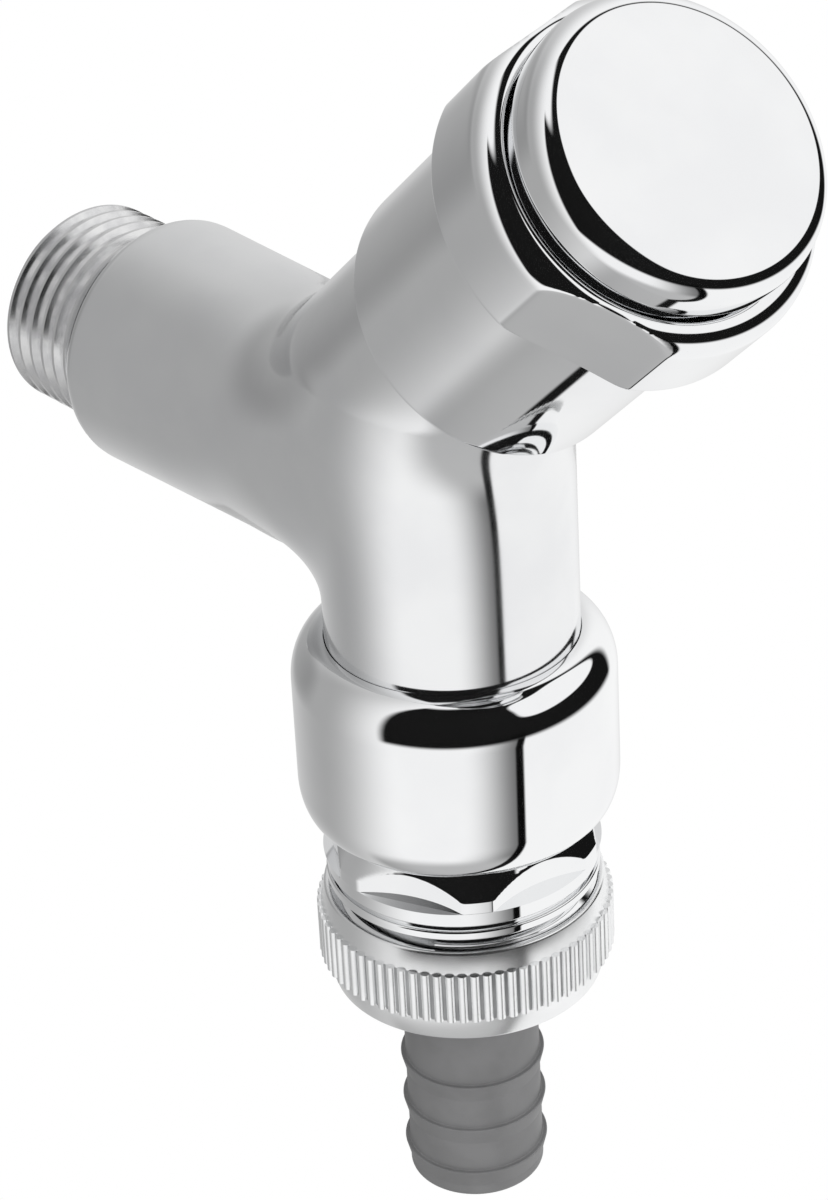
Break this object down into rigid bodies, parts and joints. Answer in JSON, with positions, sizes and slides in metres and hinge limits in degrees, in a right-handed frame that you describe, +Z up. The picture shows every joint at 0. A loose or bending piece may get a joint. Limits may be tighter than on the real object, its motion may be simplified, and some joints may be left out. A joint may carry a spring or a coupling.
{
  "type": "outdoor tap",
  "caption": "Wall-mounted outdoor tap with a slanted fluted handle, a backflow housing, a knurled hose union and a barbed hose tail.",
  "frame": {"origin": "on the inlet axis at the shoulder that meets the wall", "axes": "+X away from the wall, +Z up, -Z along the outlet"},
  "size_m": [0.0968, 0.0332, 0.1344],
  "materials": {
    "satin_chrome": "satin",
    "chrome": "polished",
    "brass": "machined",
    "spring_steel": "bright",
    "rubber": "matt",
    "fibre": "matt",
    "grey_plastic": "moulded",
    "white_plastic": "moulded"
  },
  "bodies": {
    "tap": {"tap_body": "satin_chrome", "bonnet_gasket": "fibre", "headwork_body": "brass", "bonnet_sleeve": "satin_chrome", "outlet_housing": "chrome", "barrel_o_ring": "rubber", "check_cartridge": "white_plastic", "cartridge_o_ring": "rubber", "check_spring": "spring_steel", "outlet_nipple": "chrome"},
    "handle": {"spindle": "brass", "spindle_o_rings": "rubber", "retaining_clip": "spring_steel", "handle_skirt": "chrome", "handle_cap": "chrome", "handle_screw": "spring_steel"},
    "plug": {"valve_plug": "brass", "seat_washer": "rubber", "washer_screw": "brass"},
    "poppet": {"check_poppet": "white_plastic", "poppet_seal": "rubber"},
    "tail": {"hose_tail": "grey_plastic", "hose_gasket": "rubber"},
    "nut": {"union_nut": "chrome"}
  },
  "joints": [
    {"name": "handle_turn", "type": "hinge", "parent": "tap", "child": "handle", "pos_m": [0.03, 0, 0], "axis": [0.7071, 0, 0.7071], "range_deg": [0, 900]},
    {"name": "plug_lift", "type": "slide", "parent": "tap", "child": "plug", "axis": [0.7071, 0, 0.7071], "range_m": [0, 0.005]},
    {"name": "check_open", "type": "slide", "parent": "tap", "child": "poppet", "axis": [0, 0, -1], "range_m": [0, 0.0025], "stiffness_N_per_m": 150, "springref_m": -0.006, "deforming": ["check_spring"]},
    {"name": "tail_drop", "type": "slide", "parent": "tap", "child": "tail", "axis": [0, 0, -1], "range_m": [0, 0.00545]},
    {"name": "nut_turn", "type": "hinge", "parent": "tail", "child": "nut", "pos_m": [0.0425, 0, 0], "axis": [0, 0, -1], "range_deg": [0, 1080]}
  ],
  "couplings": [
    {"joint": "plug_lift", "follows": "handle_turn", "m_per_rad": 0.000318},
    {"joint": "tail_drop", "follows": "nut_turn", "m_per_rad": 0.00028871}
  ]
}
